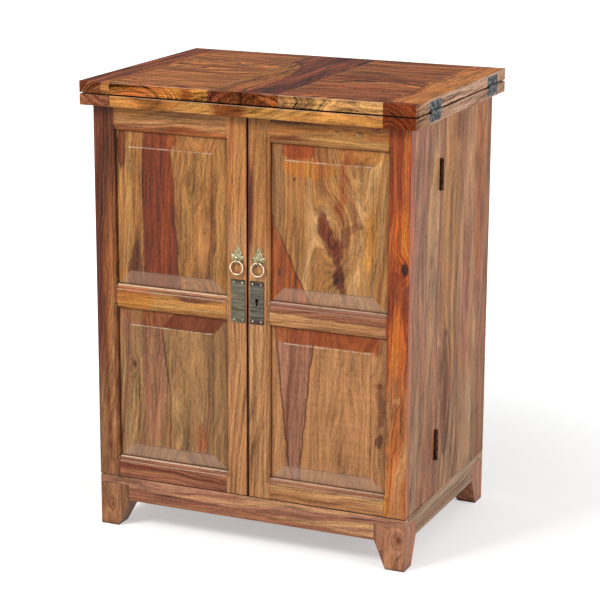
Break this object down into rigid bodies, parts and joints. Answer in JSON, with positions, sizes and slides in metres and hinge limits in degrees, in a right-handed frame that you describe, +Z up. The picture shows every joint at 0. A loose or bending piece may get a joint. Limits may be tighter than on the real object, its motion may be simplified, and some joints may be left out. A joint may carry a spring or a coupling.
{
  "type": "bar cabinet",
  "caption": "Free-standing hardwood bar cabinet with raised-panel box doors, ring pulls, bracket feet and a hinged upper leaf that folds out sideways as a serving shelf.",
  "frame": {"origin": "on the floor under the middle of the cabinet body", "axes": "+X to the right as one faces the doors, the side the leaf folds out to; +Y to the back; +Z up"},
  "size_m": [0.728, 0.529, 0.95],
  "materials": {
    "top_wood": "satin clear lacquer over figured hardwood",
    "panel_wood": "satin clear lacquer over figured hardwood",
    "frame_wood": "satin clear lacquer over figured hardwood",
    "side_wood": "satin clear lacquer over figured hardwood",
    "base_wood": "satin clear lacquer over figured hardwood",
    "inner_wood": "thin matt lacquer over plainer hardwood",
    "pull_brass": "antiqued cast brass, worn bright on the ring",
    "plate_iron": "aged rolled iron sheet, lacquered",
    "nail_steel": "bright domed nail heads",
    "hinge_iron": "blackened iron",
    "lock_steel": "plain zinc plated steel",
    "felt": "dense felt"
  },
  "bodies": {
    "carcass": {"front_apron": "base_wood", "rear_apron": "base_wood", "side_aprons": "base_wood", "feet": "base_wood", "floor_board": "inner_wood", "left_side_board": "side_wood", "right_side_board": "side_wood", "back_panel": "inner_wood", "middle_shelf": "inner_wood", "bottle_rack_rails": "inner_wood", "stemware_rack": "inner_wood", "support_cleats": "inner_wood", "lower_top_cleats": "top_wood", "lower_top_board": "top_wood", "leaf_pads": "felt", "carcass_hinge_leaves": "hinge_iron", "carcass_hinge_screws": "hinge_iron", "leaf_hinge_lower_leaves": "hinge_iron", "hinge_pins": "hinge_iron"},
    "folding_leaf": {"leaf_cleats": "top_wood", "leaf_field_boards": "top_wood", "leaf_centre_boards": "top_wood", "leaf_hinge_upper_leaves": "hinge_iron", "leaf_hinge_upper_screws": "hinge_iron"},
    "left_door": {"left_door_outer_stile": "frame_wood", "left_door_inner_stile": "frame_wood", "left_door_top_rail": "frame_wood", "left_door_middle_rail": "frame_wood", "left_door_bottom_rail": "frame_wood", "left_door_panels": "panel_wood", "left_door_outer_side": "side_wood", "left_door_inner_side": "inner_wood", "left_door_box_boards": "inner_wood", "left_door_gallery_rails": "inner_wood", "left_door_hinge_leaves": "hinge_iron", "left_door_hinge_screws": "hinge_iron", "left_door_pull_rosette": "pull_brass", "left_door_plate": "plate_iron", "left_door_plate_nails": "nail_steel", "tower_bolt_guides": "lock_steel"},
    "right_door": {"right_door_outer_stile": "frame_wood", "right_door_inner_stile": "frame_wood", "right_door_top_rail": "frame_wood", "right_door_middle_rail": "frame_wood", "right_door_bottom_rail": "frame_wood", "right_door_panels": "panel_wood", "right_door_outer_side": "side_wood", "right_door_inner_side": "inner_wood", "right_door_box_boards": "inner_wood", "right_door_gallery_rails": "inner_wood", "right_door_hinge_leaves": "hinge_iron", "right_door_hinge_screws": "hinge_iron", "right_door_pull_rosette": "pull_brass", "right_door_plate": "plate_iron", "right_door_plate_nails": "nail_steel", "lock_case": "lock_steel"},
    "left_ring": {"left_door_ring": "pull_brass"},
    "right_ring": {"right_door_ring": "pull_brass"},
    "lock_bolt": {"lock_bolt": "lock_steel"},
    "tower_bolt": {"tower_bolt": "lock_steel"}
  },
  "joints": [
    {"name": "leaf_fold", "type": "hinge", "parent": "carcass", "child": "folding_leaf", "pos_m": [0.363, 0.0015, 0.925], "axis": [0, 1, 0], "range_deg": [0, 180]},
    {"name": "left_door_swing", "type": "hinge", "parent": "carcass", "child": "left_door", "pos_m": [-0.346, -0.073, 0.5], "axis": [0, 0, -1], "range_deg": [0, 180]},
    {"name": "right_door_swing", "type": "hinge", "parent": "carcass", "child": "right_door", "pos_m": [0.346, -0.073, 0.5], "axis": [0, 0, 1], "range_deg": [0, 180]},
    {"name": "left_ring_swing", "type": "hinge", "parent": "left_door", "child": "left_ring", "pos_m": [-0.022, -0.2452, 0.6068], "axis": [-1, 0, 0], "range_deg": [0, 160]},
    {"name": "right_ring_swing", "type": "hinge", "parent": "right_door", "child": "right_ring", "pos_m": [0.024, -0.2452, 0.6068], "axis": [-1, 0, 0], "range_deg": [0, 160]},
    {"name": "lock_bolt_slide", "type": "slide", "parent": "right_door", "child": "lock_bolt", "axis": [-1, 0, 0], "range_m": [0, 0.008]},
    {"name": "tower_bolt_slide", "type": "slide", "parent": "left_door", "child": "tower_bolt", "axis": [0, 0, 1], "range_m": [0, 0.012]}
  ]
}
